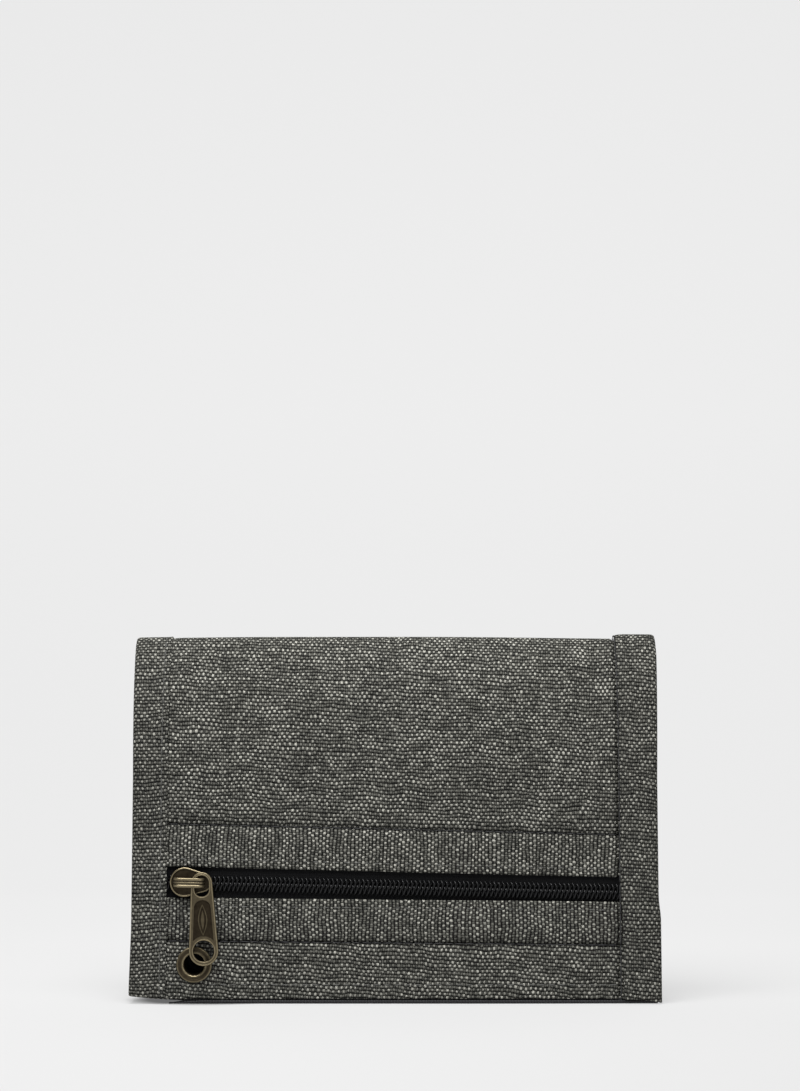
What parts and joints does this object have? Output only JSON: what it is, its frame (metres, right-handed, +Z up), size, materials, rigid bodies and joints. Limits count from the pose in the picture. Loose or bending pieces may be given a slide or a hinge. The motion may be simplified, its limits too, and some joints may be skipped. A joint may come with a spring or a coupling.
{
  "type": "bifold wallet",
  "caption": "Closed bifold fabric wallet with a zipped coin pocket on its front, wide side hems, a hanging zip puller and a corner eyelet.",
  "frame": {"origin": "middle of the footprint: the bottom centre of the closed wallet's bounding box", "axes": "+X along the width towards the right-hand hem, -Y out of the zip side, +Z up from the open edges to the fold"},
  "size_m": [0.13, 0.0228, 0.09],
  "materials": {
    "grey_cloth": "coarse grey melange plain weave",
    "hem_cloth": "coarse grey melange plain weave, folded",
    "black_lining": "fine black woven lining",
    "binding_tape": "black ribbed binding",
    "touch_fastener": "black hook and loop tape",
    "zip_tape": "black knitted zip tape",
    "zip_coil": "black nylon monofilament",
    "clear_vinyl": "clear soft vinyl",
    "old_brass": "dark antique plating, worn on the edges"
  },
  "bodies": {
    "rear_half": {"rear_panel": "grey_cloth", "rear_bottom_hem": "grey_cloth", "rear_lining": "black_lining", "rear_hem_left": "hem_cloth", "rear_hem_right": "hem_cloth", "rear_lining_hem": "hem_cloth", "card_pocket_high": "black_lining", "card_pocket_mid": "black_lining", "card_pocket_low": "black_lining", "card_binding_high": "binding_tape", "card_binding_mid": "binding_tape", "card_binding_low": "binding_tape", "hook_strip": "touch_fastener"},
    "spine": {"spine_panel": "grey_cloth", "spine_lining": "black_lining", "spine_hem_left": "hem_cloth", "spine_hem_right": "hem_cloth", "spine_lining_hem": "hem_cloth"},
    "front_half": {"front_upper_panel": "grey_cloth", "zip_band_upper": "grey_cloth", "zip_band_lower": "grey_cloth", "front_lower_panel": "grey_cloth", "front_bottom_hem": "grey_cloth", "front_hem_left": "hem_cloth", "front_hem_right": "hem_cloth", "front_lining_hem": "hem_cloth", "zip_tape_upper": "zip_tape", "zip_tape_lower": "zip_tape", "zip_coil_upper": "zip_coil", "zip_coil_lower": "zip_coil", "coin_lining": "black_lining", "coin_pocket_top": "black_lining", "front_lining": "black_lining", "id_window": "clear_vinyl", "id_panel": "black_lining", "id_binding": "binding_tape", "loop_strip": "touch_fastener", "eyelet": "old_brass", "eyelet_washer": "old_brass"},
    "zip_slider": {"slider_body": "old_brass", "slider_bridge": "old_brass", "lock_spring": "old_brass"},
    "zip_puller": {"puller": "old_brass"}
  },
  "joints": [
    {"name": "rear_fold", "type": "hinge", "parent": "rear_half", "child": "spine", "pos_m": [0, 0.00796, 0.08656], "axis": [-1, 0, 0], "range_deg": [0, 90]},
    {"name": "front_fold", "type": "hinge", "parent": "spine", "child": "front_half", "pos_m": [0, -0.00516, 0.08656], "axis": [-1, 0, 0], "range_deg": [0, 90]},
    {"name": "zip_slide", "type": "slide", "parent": "front_half", "child": "zip_slider", "axis": [0.9998, 0, -0.0209], "range_m": [0, 0.098]},
    {"name": "puller_swing", "type": "hinge", "parent": "zip_slider", "child": "zip_puller", "pos_m": [-0.04709, -0.00965, 0.02929], "axis": [0, -1, 0], "range_deg": [-45, 90]}
  ],
  "couplings": [
    {"joint": "front_fold", "follows": "rear_fold", "ratio": 1}
  ]
}
